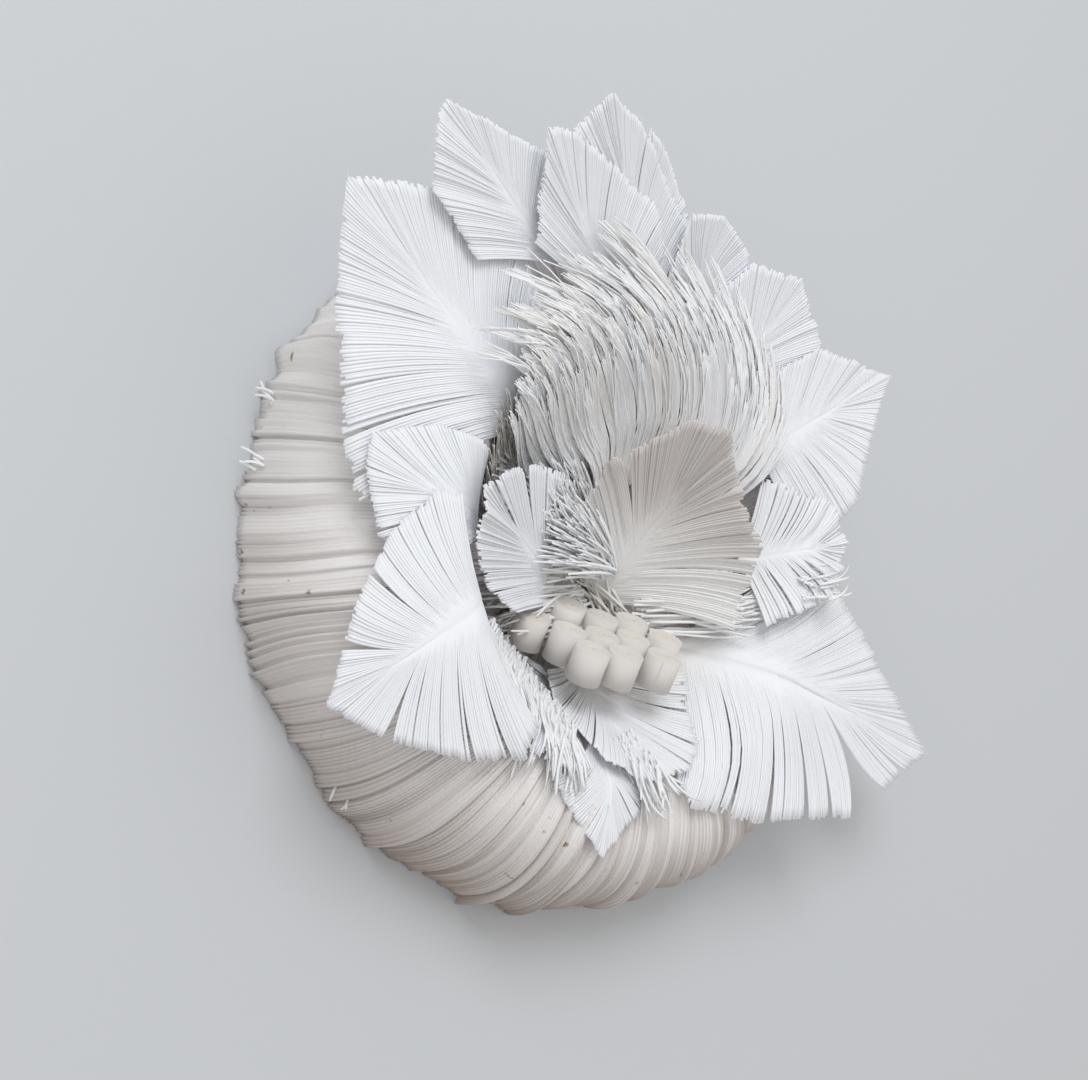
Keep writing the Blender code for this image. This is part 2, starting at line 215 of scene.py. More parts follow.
# Coils
COIL_RADIUS = 2.3 * MM
COIL_HEIGHT = 4.4 * MM
COIL_HEADING = 163
COIL_RISE = 33
CLUSTER_PLACE = (19.2, 322.4)
CLUSTER_HEIGHT = 18.6 * MM
COIL_BORE = 0.35 * MM
COIL_PITCH = 0.2 * MM
COIL_STEPS = 24
COIL_ROWS = 3
COIL_UNEVENNESS = 0.06 * MM
COIL_KNOTS = 12
# Painted shade towards the coils' middle turns
COIL_MIDDLE_SHADE = 0.5
SEAT_POINTS = 12
SEAT_STEP = 0.1 * MM

# Stage
FLOOR_REACH = 3
FLOOR_DROP = 0.05 * MM
LAMP_DIRECTION = (-0.68, -0.18, 1)
LAMP_DISTANCE = 0.7
LAMP_SIZE = 0.35
LAMP_STRENGTH = 0.44
LAMP_COLOUR = "#F8FBFF"
WORLD_AT_HORIZON = 0.5
WORLD_OVERHEAD = 0.81
WORLD_COLOUR = "#FFFDFB"
PICTURE_WIDTH = 1088
CAMERA_FOCAL_PIXELS = 1500
CAMERA_PLACE = (-3.664 * MM, -124.796 * MM, 169.958 * MM)
CAMERA_ELEVATION = 54.5
CAMERA_UP = (-0.9781, 0.1693, 0.1207)


@dataclass
class Leaf:
    """A leaf laid over the pod. Root and tip are (radius in mm, azimuth). Each side has the heel,
    where its first barb ends, and its corners, as (mm along the leaf, mm out from the spine). The
    level counts the sheets below, and the lift raises the tip, in mm. Splits are the wide gaps
    between its barbs, as (side, place and width as shares of the spine). The ruffle is how much
    its barbs part, and the crease how deep its spine is pressed in, in mm."""

    name: str
    root: tuple
    tip: tuple
    left: tuple
    right: tuple
    level: float
    lift: float
    splits: tuple = ()
    ruffle: float = 1.0
    crease: float = 0.0


@dataclass
class Petal:
    """A leaf that stands free: its root as (radius in mm, azimuth), its length in mm, the heading,
    rise and roll of its plane in degrees, its two sides as on a leaf, and its cup in mm. A flagged
    one gets painted shade that deepens towards its tip, over a foot lighter than the leaves: painted
    light."""

    name: str
    root: tuple
    length: float
    heading: float
    rise: float
    roll: float
    left: tuple
    right: tuple
    cup: float
    splits: tuple = ()
    ruffle: float = 1.0
    painted_shade: bool = False
    crease: float = 0.0


@dataclass
class Fringe:
    """A bank of strands around the hollow: azimuths of its two ends, radius of its root, radii of
    its tips at both ends and how much farther they reach midway, in mm, and its level."""

    name: str
    ends: tuple
    root: float
    tips: tuple
    arch: float
    level: float
    strands: int


@dataclass
class Tuft:
    """Loose strips that curl out of one place: (radius in mm, azimuth) and mm over the sheets
    there, the spread of their roots in mm, their number and their least and greatest length in mm.
    Their heading, fan and rise, and how far they turn to the left and bend upwards on their way,
    are in degrees. The tone is warm painted shade, from 0 to 1, most for strips deep in the hollow."""

    name: str
    place: tuple
    height: float
    spread: float
    strips: int
    lengths: tuple
    heading: float
    fan: float
    rise: float
    turn: float
    bend: float
    tone: float = 0.2


LEFT = 1
RIGHT = -1

LEAVES = [
    Leaf("left_leaf", (24, 223), (62, 220),
        ((13, 26), (18, 22), (31, 9)), ((7, 11), (17, 16), (30, 8)), 0.5, 1,
        ((LEFT, 0.36, 0.012), (LEFT, 0.2, 0.02), (LEFT, 0.08, 0.02), (LEFT, 0.75, 0.01))),
    Leaf("side_leaf", (26, 257), (46, 250),
        ((10, 8), (17, 7)), ((4, 9), (13, 8), (21, 4)), 1.7, 0,
        ((LEFT, 0.5, 0.03),)),
    Leaf("front_leaf", (32, 273), (53, 280),
        ((2, 16), (6, 18), (12, 14), (18, 7)), ((-4, 12), (-1, 14), (6, 13), (14, 8)), 2.3, 0,
        ((LEFT, 0.22, 0.025), (LEFT, 0.37, 0.025), (LEFT, 0.72, 0.05), (RIGHT, 0.5, 0.03),
        (RIGHT, 0.78, 0.04))),
    Leaf("narrow_leaf", (21, 292), (34, 312),
        ((3, 6), (13, 4)), ((9, 8), (15, 5)), 1, 0,
        ((LEFT, 0.5, 0.05), (RIGHT, 0.5, 0.05)), 3),
    Leaf("lower_leaf", (27, 323), (41, 330),
        ((5, 5), (9, 5)), ((5, 9), (8, 7)), 0, 0,
        ((LEFT, 0.3, 0.05),)),
    Leaf("apron_leaf", (16, 322), (31, 335),
        ((2, 16), (12, 12), (15, 8)), ((1, 6), (7, 9), (13, 6)), 2, 0,
        ((LEFT, 0.25, 0.03), (LEFT, 0.45, 0.03), (LEFT, 0.6, 0.02)), 1.6),
    Leaf("right_leaf", (15, 24), (60, 49),
        ((12, 16.5), (22, 16.5), (30, 11)), ((-3, 19), (1, 23), (14, 21), (34, 14)), 0.3, 0,
        ((RIGHT, 0.22, 0.02), (RIGHT, 0.37, 0.025), (RIGHT, 0.5, 0.02), (RIGHT, 0.61, 0.02),
        (RIGHT, 0.73, 0.16), (RIGHT, 0.88, 0.02), (LEFT, 0.6, 0.015), (LEFT, 0.85, 0.02)), 1, 0.4),
    Leaf("twig_leaf", (18, 75), (34, 80), ((3, 11), (15, 6)), ((0, 10), (12, 7)), 4, 0, (), 2.5),
    Leaf("crown_leaf_1", (38, 195), (61, 207),
        ((10, 9), (20, 8), (23, 5), (25, 2)), ((1, 8), (8, 8.5), (16, 4.5), (22, 1.5)), 1.5, 2),
    Leaf("crown_leaf_2", (28, 174), (53, 196), ((20, 8), (26, 2)), ((3, 9), (10, 12), (26, 4)), 2.3, 3),
    Leaf("crown_leaf_3", (33, 166), (55, 184), ((16, 7), (25, 7)), ((4, 9), (14, 6), (21, 4)), 1, 3),
    Leaf("crown_leaf_4", (33, 164), (52, 175), ((11, 3), (18, 2)), ((3, 9), (10, 6), (17, 3)), 0, 2),
    Leaf("crown_leaf_5", (28, 152), (44, 158), ((8, 6), (16, 5)), ((5, 9), (13, 7)), 1, 3),
    Leaf("crown_leaf_6", (24, 134), (44, 136), ((9, 11), (17, 8)), ((9, 9), (16, 9)), 2, 2),
    Leaf("crown_leaf_7", (24, 113), (48, 110),
        ((7, 9), (15, 9)), ((-1, 12), (8, 15), (12, 14)), 3, 2,
        ((LEFT, 0.75, 0.03), (RIGHT, 0.35, 0.01))),
]

PETALS = [
    Petal("centre_petal", (7.3, 326), 33.4, 161, 54, -15,
        ((10, 10), (18.6, 10.6), (23, 11.4), (27, 8.6), (32.5, 4.5)),
        ((6.6, 19), (20.6, 14), (25, 8), (29, 4)), 2,
        ((LEFT, 0.52, 0.05), (RIGHT, 0.72, 0.03), (RIGHT, 0.35, 0.03)), 1.6, True),
    Petal("left_petal", (9.2, 303), 35, 235, 36, 0,
        ((18, 9), (26, 9), (32, 6)), ((8, 9), (16, 11.5), (23, 9), (31, 4)), 2,
        ((RIGHT, 0.62, 0.06), (RIGHT, 0.25, 0.03), (LEFT, 0.3, 0.03)), 1.7),
]

FRINGES = [
    Fringe("fringe_1", (112, 232), 16, (32, 38), 8, 0, 980),
    Fringe("fringe_2", (110, 228), 15, (31, 36), 7, 1, 930),
    Fringe("fringe_3", (108, 224), 14, (30, 34), 6, 2, 880),
    Fringe("fringe_4", (112, 218), 13, (30, 32), 4, 3, 800),
    Fringe("fringe_5", (118, 210), 12, (29, 30), 2, 4, 730),
]

TUFTS = [
    Tuft("lining", (7, 290), 1.9, 17, 260, (6, 11), 200, 70, 10, 20, -10, 0.9),
    Tuft("left_nest", (19, 232), 3.4, 8, 170, (5, 9), 205, 60, 5, 30, -20, 0.9),
    Tuft("rim_ends_1", (49, 237), -18.5, 2, 5, (2, 4), 215, 40, 5, 50, -10, 0.1),
    Tuft("rim_ends_2", (49, 245), -18.5, 4, 5, (2, 3), 230, 50, 5, 40, -10, 0.1),
    Tuft("rim_ends_3", (48, 296), -15.5, 2, 3, (2, 3), 280, 50, 20, 60, -30, 0.1),
    Tuft("nest_cross", (19.5, 233), 4.2, 6, 30, (4, 7), 230, 220, 5, 20, -10, 0.3),
    Tuft("petal_crest", (9, 222), 5, 6, 120, (6, 10), 212, 36, 35, 20, -30, 0.15),
    Tuft("centre_barbs", (9.5, 243), 7.5, 4.5, 110, (5, 9), 255, 36, 5, -40, 20, 0.25),
    Tuft("petal_barbs", (4.5, 290), 5.5, 3, 230, (9, 14), 238, 54, 32, 6, -20, 0.1),
    Tuft("arcs", (13.5, 280), 4.5, 5, 90, (6, 9), 262, 30, 25, 20, -50, 0.4),
    Tuft("foot_strands", (11.5, 301), 3.4, 6, 160, (8, 13), 268, 26, 12, 0, -25, 0.4),
    Tuft("front_shreds", (25, 289), 3.3, 8, 130, (8, 13), 318, 24, 6, 16, -20, 0.15),
    Tuft("narrow_shreds", (26, 300), 3.2, 6, 90, (6, 10), 332, 30, 8, 30, -30, 0.15),
    Tuft("apron_left", (28, 307), 3.2, 5, 60, (6, 9), 335, 30, 8, 20, -30, 0.15),
    Tuft("apron_curls", (27, 334), 3.5, 5, 70, (4, 8), 0, 50, 10, 50, -40, 0.1),
    Tuft("petal_right", (9, 5), 4.5, 5, 22, (9, 14), 78, 24, 10, 10, -20, 0.3),
    Tuft("right_shreds", (13, 50), 5.5, 6, 110, (5, 10), 70, 50, 15, 30, -40, 0.2),
    Tuft("twig_ends", (27, 68), 5, 5, 36, (3, 6), 75, 40, 10, 40, -50, 0.1),
]

# Coils as mm to the right and mm down the wall of the hollow from the middle of the cluster
COILS = [
    (-8.9, 7.4), (-5.1, 4.3), (-4.5, -0.6), (0.4, -0.9), (7, -0.5), (-2.9, 9),
    (-0.3, 3.9), (4.6, 3.8), (10.7, 5), (2.2, 8.4), (7.2, 8.4),
]


# Helpers for colours, random curves and directions


def linear(hex_colour):
    """Linear RGBA of an sRGB hex colour."""
    shares = [int(hex_colour[i : i + 2], 16) / 255 for i in (1, 3, 5)]
    return (*[s / 12.92 if s <= 0.04045 else ((s + 0.055) / 1.055) ** 2.4 for s in shares], 1)


def either_way(random, count):
    """Random numbers from -1 to 1."""
    return random.uniform(-1, 1, count)


def wander(place, knots, seed, round_trip=False):
    """Smooth random curve in -1 to 1: random heights at even knots from 0 to 1, joined by cosine
    steps, so it is level at every knot. On a round trip its end meets its start."""
    heights = either_way(np.random.default_rng(seed), knots if round_trip else knots + 2)
    position = (place % 1 if round_trip else np.clip(place, 0, 1)) * knots
    knot = np.floor(position).astype(int)
    step = (1 - np.cos(np.pi * (position - knot))) / 2
    return heights[knot % len(heights)] * (1 - step) + heights[(knot + 1) % len(heights)] * step


def smooth_step(value, start=0, width=1):
    """S-shaped rise from 0 at the start to 1 past the width: 3 s squared less 2 s cubed."""
    share = np.clip((value - start) / width, 0, 1)
    return share * share * (3 - 2 * share)


def unit_vector(heading, rise):
    """Unit vector from its heading in the plan and its rise above it, both in degrees."""
    heading = np.radians(heading)
    rise = np.radians(rise)
    level = np.cos(rise)
    parts = (level * np.cos(heading), level * np.sin(heading), np.sin(rise))
    return np.stack(np.broadcast_arrays(*parts), axis=-1)


def cylinder_points(radius, azimuth, height):
    """Points from their distance to the middle axis, azimuth in degrees and height."""
    angle = np.radians(azimuth)
    return np.stack((radius * np.cos(angle), radius * np.sin(angle), height), axis=-1)


def polar_point(place):
    """Plan position of a (radius in mm, azimuth) pair."""
    return place[0] * MM * unit_vector(place[1], 0)[:2]


# The pod's surface and what lies on it


def swing(azimuth, middle):
    """0 at the middle azimuth, 1 at the opposite side."""
    return (1 - np.cos(np.radians(azimuth - middle))) / 2


def rim_radius(azimuth):
    return RIM_RADIUS - RIM_NARROWING * swing(azimuth, WIDE_SIDE)


def crest_radius(azimuth):
    return CREST_RADIUS - CREST_NARROWING * swing(azimuth, TALL_SIDE)


def crest_height(azimuth):
    return POD_HEIGHT - POD_FALL * swing(azimuth, TALL_SIDE)


def floor_radius(azimuth):
    """Radius of the hollow's floor, which is wider on its left side."""
    return FLOOR_RADIUS + FLOOR_WIDENING * (1 - swing(azimuth, DEEP_SIDE)) ** DEEP_NARROWNESS


def hollow_height(radius, azimuth):
    """Height of the pod inside its crest: a level floor and an S-shaped wall."""
    foot = floor_radius(azimuth)
    rise = smooth_step(radius, foot, crest_radius(azimuth) - foot)
    return HOLLOW_FLOOR + (crest_height(azimuth) - HOLLOW_FLOOR) * rise


def apron_slope(azimuth):
    """Slope of the leaves outside the crest: up at the crown, down at the front."""
    crown = (1 - swing(azimuth, CROWN_SIDE)) ** CROWN_NARROWNESS
    front = (1 - swing(azimuth, FRONT_SIDE)) ** FRONT_NARROWNESS
    return SIDE_SLOPE + (CROWN_RISE - SIDE_SLOPE) * crown + (FRONT_DROOP - SIDE_SLOPE) * front


def rest_height(radius, azimuth):
    """Underside of the first sheet: it follows the hollow, then runs out over the crest."""
    out = np.maximum(radius - crest_radius(azimuth), 0)
    apron = apron_slope(azimuth) * out * out / (out + APRON_BEND)
    return hollow_height(radius, azimuth) + apron + FIRST_SHEET


def rest_at(x, y):
    """Rest height over a point of the plan."""
    return rest_height(np.hypot(x, y), np.degrees(np.arctan2(y, x)))


# Meshes: a sheet is a grid of points, some of its cells left open, given its thickness


def grid_quads(columns, rows, keep=None):
    """Corner numbers of the cells of a grid of columns by rows points, those of keep only."""
    column, row = np.meshgrid(np.arange(columns - 1), np.arange(rows - 1), indexing="ij")
    first = column * rows + row
    quads = np.stack((first, first + rows, first + rows + 1, first + 1), axis=-1)
    return quads[keep] if keep is not None else quads.reshape(-1, 4)


def thicken(points, quads, thickness):
    """Closed sheet: the points moved half the thickness to both sides along their normals, which
    are the sums of the cells' cross products, with a rim along every edge that one cell uses."""
    corners = points[quads]
    crosses = np.cross(corners[:, 2] - corners[:, 0], corners[:, 3] - corners[:, 1])
    normals = np.zeros_like(points)
    np.add.at(normals, quads, crosses[:, None, :])
    normals /= np.maximum(np.linalg.norm(normals, axis=1, keepdims=True), 1e-12)
    count = len(points)
    starts = quads.ravel()
    ends = np.roll(quads, -1, axis=1).ravel()
    lone = ~np.isin(starts * count + ends, ends * count + starts)
    starts, ends = starts[lone], ends[lone]
    rims = np.stack((ends, starts, starts + count, ends + count), axis=-1)
    half = normals * thickness / 2
    sheets = np.concatenate((quads, quads[:, ::-1] + count))
    return np.concatenate((points + half, points - half)), [(sheets, True), (rims, False)]


def add_object(name, data):
    """A new object in the scene that shows the data."""
    item = bpy.data.objects.new(name, data)
    bpy.context.scene.collection.objects.link(item)
    return item


def add_piece(name, vertices, faces, shade, stock):
    """A mesh object from arrays, in the frame's place, that rides on the frame's one body. Faces
    are pairs of corner numbers and whether they are smooth, and the shade is a number a vertex
    that the stock's material reads."""
    corners = [group.ravel() for group, _ in faces]
    sides = np.concatenate([np.full(len(group), group.shape[1]) for group, _ in faces])
    smooth = np.concatenate([np.full(len(group), is_smooth) for group, is_smooth in faces])
    mesh = bpy.data.meshes.new(name)
    mesh.vertices.add(len(vertices))
    mesh.vertices.foreach_set("co", np.asarray(vertices, np.float32).ravel())
    mesh.loops.add(int(sides.sum()))
    mesh.loops.foreach_set("vertex_index", np.concatenate(corners).astype(np.int32))
    mesh.polygons.add(len(sides))
    mesh.polygons.foreach_set("loop_start", (np.cumsum(sides) - sides).astype(np.int32))
    mesh.polygons.foreach_set("use_smooth", smooth)
    attribute = mesh.attributes.new("shade", "FLOAT", "POINT")
    attribute.data.foreach_set("value", np.asarray(shade, np.float32))
    mesh.update(calc_edges=True)
    if mesh.validate():
        raise ValueError(f"{name} has faces that are no faces")
    mesh.materials.append(stock_material(stock))
    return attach(add_object(name, mesh), "root")


def add_sheet(name, points, quads, thickness, tone, stock):
    """A closed sheet over a grid of points, with a tone for each of them."""
    vertices, faces = thicken(points.reshape(-1, 3), quads, thickness)
    return add_piece(name, vertices, faces, np.tile(tone.ravel(), 2), stock)


# Fringed leaves and petals


def edge_corners(side, length):
    """Corners of one cut edge, from its heel to the tip, and how far along the edge each one is."""
    corners = np.array([*side, (length / MM, 0)]) * MM
    steps = np.hypot(*np.diff(corners, axis=0).T)
    return corners.T, np.concatenate(([0], np.cumsum(steps)))


def edge_points(side, length, share):
    """Ends of the barbs along one cut edge, from its heel over its corners to the tip."""
    (along, out), travelled = edge_corners(side, length)
    distance = share * travelled[-1]
    return np.interp(distance, travelled, along), np.interp(distance, travelled, out)


def blade_point(left, right, length, share, reach):
    """Place on a flat leaf as (along, out): the share runs up the spine from 0 to 1, and the
    reach runs along the barbs from -1 at the right edge over 0 at the spine to 1 at the left."""
    spine = share * SPINE_SHARE * length
    left_along, left_out = edge_points(left, length, share)
    right_along, right_out = edge_points(right, length, share)
    on_left = reach > 0
    end_along = np.where(on_left, left_along, right_along)
    end_out = np.where(on_left, left_out, -right_out)
    barb = np.abs(reach)
    bow = BARB_BOW * np.abs(end_out) * barb * (1 - barb)
    return spine + (end_along - spine) * barb + bow, end_out * barb


def bundles(count, sizes, seed):
    """Neighbours that cling together: for each of count strips the number of its bundle, and its
    place across the bundle from -1 to 1. The sizes are the fewest and the most in a bundle."""
    random = np.random.default_rng(seed)
    starts = np.cumsum(random.integers(*sizes, count))
    number = np.searchsorted(starts, np.arange(count), side="right")
    first = np.concatenate(([0], starts))[number]
    size = starts[number] - first
    return number, 2 * (np.arange(count) + 0.5 - first) / size - 1


def spread_barbs(share, reach, splits, ruffle, seed):
    """Shares of the barbs once they part at the splits and sway together: each moves along the
    spine in proportion to the square of its reach, its three columns as one."""
    side = np.where(reach > 0, LEFT, RIGHT)
    middle = np.repeat(share[1::3], 3, axis=0)
    sways = [size * wander(share, knots, seed + n) for n, (knots, size) in enumerate(SWAYS)]
    move = side * ruffle * sum(sways)
    for split_side, place, width in splits:
        away = middle - place
        push = np.sign(away) * width / 2 * np.exp(-np.abs(away) / SPLIT_FADE)
        move += np.where(side == split_side, push, 0)
    return share + move * reach * reach


def cling(barbs, ruffle, seed, random):
    """Barbs on one side of a leaf. Bundles of them draw together, rise and tilt as one, and each
    barb is crowned and tilts a little by itself. Gives for every column of points its relief in
    metres, how far it is drawn, how short it ends and how far it is uncut."""
    barb = np.repeat(np.arange(barbs), 3)
    across = np.tile((-1, 0, 1), barbs)
    number, spot = bundles(barbs, BUNDLE, seed)
    bundle = number[barb]
    spot = spot[barb]
    lift = BUNDLE_LIFT * either_way(random, barbs)[bundle]
    tilt = BUNDLE_TILT * either_way(random, barbs)[bundle]
    single = BARB_LIFT * either_way(random, barbs)[barb]
    twist = BARB_TILT * either_way(random, barbs)[barb]
    relief = ruffle * (lift + tilt * spot + single) + twist * across - BARB_CROWN * across**2
    draw = BUNDLE_PINCH * spot / barbs
    short = BARB_SHORTFALL * random.random(barbs) ** 3
    short += BUNDLE_SHORTFALL * random.random(barbs)[number]
    uncut = UNCUT * (1 + UNCUT_SPREAD * either_way(random, 3 * barbs))
    return [column[:, None] for column in (relief, draw, ruffle * short[barb], uncut)]


def comb_sheet(barbs, ruffle, seed):
    """Grid of a fringed leaf. Each barb has three columns of points, its two edges and its middle,
    and the cells between neighbouring barbs are left open beyond the uncut stretch. Gives share,
    reach, relief in metres and quads."""
    random = np.random.default_rng(seed)
    rows = np.array([-row for row in LEAF_ROWS[:0:-1]] + list(LEAF_ROWS))
    halfway = (rows[:-1] + rows[1:]) / 2
    column = np.arange(3 * barbs)
    place = (column // 3 + 0.5 + (column % 3 - 1) * (1 - SLIT) / 2) / barbs
    share, reach = np.meshgrid(place, rows, indexing="ij")
    free = smooth_step(np.abs(reach), UNCUT, FREE_OVER)
    relief = np.zeros_like(share)
    between = (column[:-1] % 3 == 2)[:, None]
    keep = np.ones((len(column) - 1, len(halfway)), bool)
    for side in (LEFT, RIGHT):
        shape, draw, short, uncut = cling(barbs, ruffle, seed + 20 + side, random)
        on_side = reach * side > 0
        relief += np.where(on_side, shape * free, 0)
        share -= np.where(on_side, draw * free * reach**2, 0)
        reach *= np.where(on_side, 1 - short, 1)
        keep &= ~(between & (halfway * side > uncut[:-1]))
    relief -= SPINE_DEPTH * np.exp(-np.abs(reach) / SPINE_WIDTH)
    return share, reach, relief, grid_quads(len(column), len(rows), keep)


def fringed_piece(blade, surface, length, seed, sizes, stock):
    """A fringed leaf or petal over the function surface(along, out, relief), which gives points
    and their painted shade."""
    sides = (blade.left, blade.right)
    edge = max(edge_corners(side, length)[1][-1] for side in sides)
    share, reach, relief, quads = comb_sheet(int(edge / sizes.barb_width), blade.ruffle, seed)
    spread = spread_barbs(share, reach, blade.splits, blade.ruffle, seed + 7)
    along, out = blade_point(*sides, length, spread, reach)
    outward = np.abs(reach)
    wave = LEAF_WAVE * blade.ruffle * wander(share, LEAF_WAVE_KNOTS, seed + 3) * outward
    crease = blade.crease * MM * np.exp(-outward / CREASE_WIDTH)
    points, tone = surface(along, out, relief + wave - crease)
    name = "fringed_" + blade.name
    return add_sheet(name, points, quads, sizes.leaf_thickness, tone, stock)


def leaf_line(leaf):
    """A leaf's root in the plan, the unit vector from there to its tip, and its length."""
    root = polar_point(leaf.root)
    span = polar_point(leaf.tip) - root
    length = np.hypot(*span)
    return root, span / length, length


def leaf_surface(leaf, along, out, relief):
    """A leaf laid on the sheets below it, with its tip lifted and painted shade on its part in the
    hollow.
    """
    root, ahead, length = leaf_line(leaf)
    x = root[0] + ahead[0] * along - ahead[1] * out
    y = root[1] + ahead[1] * along + ahead[0] * out
    lift = leaf.lift * MM * (along / length) ** 2
    z = rest_at(x, y) + leaf.level * LAYER + lift + relief
    # Painted shade on the part of the leaf deep in the hollow
    tone = LEAF_HOLLOW_SHADE * (1 - smooth_step(np.hypot(x, y) / MM, *LEAF_HOLLOW_SHADE_STRETCH))
    return np.stack((x, y, z), axis=-1), tone


def petal_surface(petal, along, out, relief):
    """A petal that rises from the floor of the hollow, its edges cupped towards its face. A flagged
    petal gets painted shade that deepens from its foot to its tip, and another painted shade at its
    foot alone."""
    ahead = unit_vector(petal.heading, petal.rise)
    level = unit_vector(petal.heading + 90, 0)
    roll = math.radians(petal.roll)
    left = level * math.cos(roll) + np.cross(ahead, level) * math.sin(roll)
    face = np.cross(ahead, left)
    cup = petal.cup * MM * (out / (petal.length * MM / 2)) ** 2 + relief
    root = np.array((*polar_point(petal.root), HOLLOW_FLOOR + CARD_GAP))
    points = root + along[..., None] * ahead + out[..., None] * left + cup[..., None] * face
    if petal.painted_shade:
        # Painted shade that deepens from the foot to the tip
        return points, smooth_step(along / MM, *TIP_SHADE_STRETCH)
    # Painted shade at the foot, where the petal stands in the hollow
    return points, FOOT_SHADE * (1 - smooth_step(along / MM, *FOOT_SHADE_STRETCH))


# Fringes


def strand_path(fringe, around, reach, lean, pull, rise):
    """Centre line of a strand: it climbs the wall of the hollow, leans sideways about its middle on
    its way out, is pulled to the middle of its lock with the square of its reach, and rises with
    its level over the leaves below, half of which is lost again by its tip. Towards the fringe's
    last end the roots draw nearer to the middle of the hollow."""
    first, last = fringe.ends
    azimuth = first + (last - first) * around
    tip = fringe.tips[0] + (fringe.tips[1] - fringe.tips[0]) * around
    tip = (tip + fringe.arch * 4 * around * (1 - around)) * MM
    root = fringe.root * MM - ROOT_SHIFT * around**2
    radius = root + (tip - root) * reach
    turned = azimuth + lean * (reach**LEAN_POWER - 0.5) - pull * reach**2
    layers = fringe.level * (1 - LAYERS_SINK * reach)
    layers = layers + LAYERS_BELOW * smooth_step(radius, root, CLIMB)
    z = rest_height(radius, turned) + layers * LAYER + rise * reach**RISE_POWER
    return cylinder_points(radius, turned, z)


def strand_lean(around):
    """Degrees by which strands lean sideways on their way out: a parabola through the leans of the
    first, middle and last strand, so that all of them head more nearly one way."""
    bend = 2 * (FIRST_LEAN + LAST_LEAN - 2 * MIDDLE_LEAN)
    slope = LAST_LEAN - FIRST_LEAN - bend
    return FIRST_LEAN + slope * around + bend * around**2


def add_ribbons(name, path, roll, width, thickness, tone, slot):
    """Closed sheets along centre lines, an array of lines by points by 3: each is two columns of
    points half a width to both sides of its line, turned about it by its roll, and half as wide at
    its tip. The tone is a number a point of the lines."""
    count, rows, _ = path.shape
    ahead = np.gradient(path, axis=1)
    flat = np.cross(ahead, np.array((0, 0, 1)))
    flat /= np.linalg.norm(flat, axis=-1, keepdims=True)
    upward = np.cross(flat, ahead)
    upward /= np.linalg.norm(upward, axis=-1, keepdims=True)
    side = flat * np.cos(roll)[:, None, None] + upward * np.sin(roll)[:, None, None]
    taper = 1 - np.linspace(0, 1, rows) ** 3 / 2
    half = side * (width / 2 * taper)[:, None]
    points = np.stack((path - half, path + half), axis=1)
    keep = np.repeat((np.arange(2 * count - 1) % 2 == 0)[:, None], rows - 1, axis=1)
    quads = grid_quads(2 * count, rows, keep)
    return add_sheet(name, points, quads, thickness, np.repeat(tone, 2, axis=0), "strand")


def fringe_piece(fringe, seed, sizes):
    """Hundreds of strands, each a ribbon along its own centre line. Neighbours cling together in
    locks that lean and rise as one, are crowned across and come to a point, and a few stray."""
    random = np.random.default_rng(seed)
    count = fringe.strands
    around = (np.arange(count) + random.uniform(*STRAND_PLACE, count)) / count
    lock, spot = bundles(count, LOCK, seed + 5)
    strays = random.random(count) < STRAY_SHARE
    lean = strand_lean(around) + LOCK_LEAN * either_way(random, count)[lock]
    lean += np.where(strays, STRAY_LEAN, STRAND_LEAN) * either_way(random, count)
    half_lock = np.bincount(lock)[lock] / 2 * (fringe.ends[1] - fringe.ends[0]) / count
    pull = LOCK_PINCH * half_lock * spot
    rise = LOCK_RISE * either_way(random, count)[lock] - LOCK_CROWN * spot**2
    rise += STRAND_RISE * either_way(random, count)
    rise += np.where(strays, STRAY_RISE, 0) * random.random(count)
    end = random.uniform(*LOCK_END, count)[lock] - LOCK_POINT * np.abs(spot) * random.random(count)
    end -= STRAND_SHORTFALL * random.random(count) ** 2
    reach = np.linspace(0, 1, STRAND_ROWS) * end[:, None]
    path = strand_path(fringe, around[:, None], reach, lean[:, None], pull[:, None], rise[:, None])
    roll = STRAND_ROLL * (either_way(random, count) + spot)
    # Locks warmer at random, and painted shade at the edges of the locks
    tone = LOCK_TONE * random.random(count)[lock] ** 2 + LOCK_EDGE_SHADE * np.abs(spot) ** 3
    # Painted shade at the strands' roots
    tone = np.maximum(1 - smooth_step(reach, 0, ROOT_SHADE_REACH), tone[:, None])
    size = (sizes.strand_width, sizes.strand_thickness)
    return add_ribbons("strands_of_" + fringe.name, path, roll, *size, tone, "fringe paper")


# Tufts of loose strips


def tuft_paths(tuft, random):
    """Centre lines of a tuft's strips: their heading and their rise change steadily on the way, and
    the steps are added up. A strip that would sink into the sheets below lies on them."""
    count = tuft.strips
    root = polar_point(tuft.place) + either_way(random, (count, 2)) * tuft.spread / 2 * MM
    share = np.linspace(0, 1, STRAND_ROWS)
    lock, _ = bundles(count, TUFT_LOCK, tuft.strips)
    swerve = TUFT_TOGETHER * either_way(random, count)[lock]
    swerve += (1 - TUFT_TOGETHER) * either_way(random, count)
    turn = tuft.turn * random.uniform(*TUFT_TURN, count)
    rise = tuft.rise + TUFT_RISE * either_way(random, count)
    bend = tuft.bend * random.uniform(*TUFT_BEND, count)
    heading = tuft.heading + tuft.fan / 2 * swerve[:, None] + turn[:, None] * share
    step = random.uniform(*tuft.lengths, count)[:, None, None] * MM / (STRAND_ROWS - 1)
    steps = unit_vector(heading, rise[:, None] + bend[:, None] * share) * step
    height = tuft.height * MM - TUFT_DEPTH * random.random(count)
    start = np.column_stack((root, rest_at(*root.T) + height))
    path = start[:, None] + np.cumsum(steps, axis=1) - steps[:, :1]
    resting = np.minimum(height, np.maximum(height - TUFT_DEPTH, TUFT_REST))
    under = rest_at(path[..., 0], path[..., 1]) + resting[:, None]
    path[..., 2] = np.maximum(path[..., 2], under)
    return path


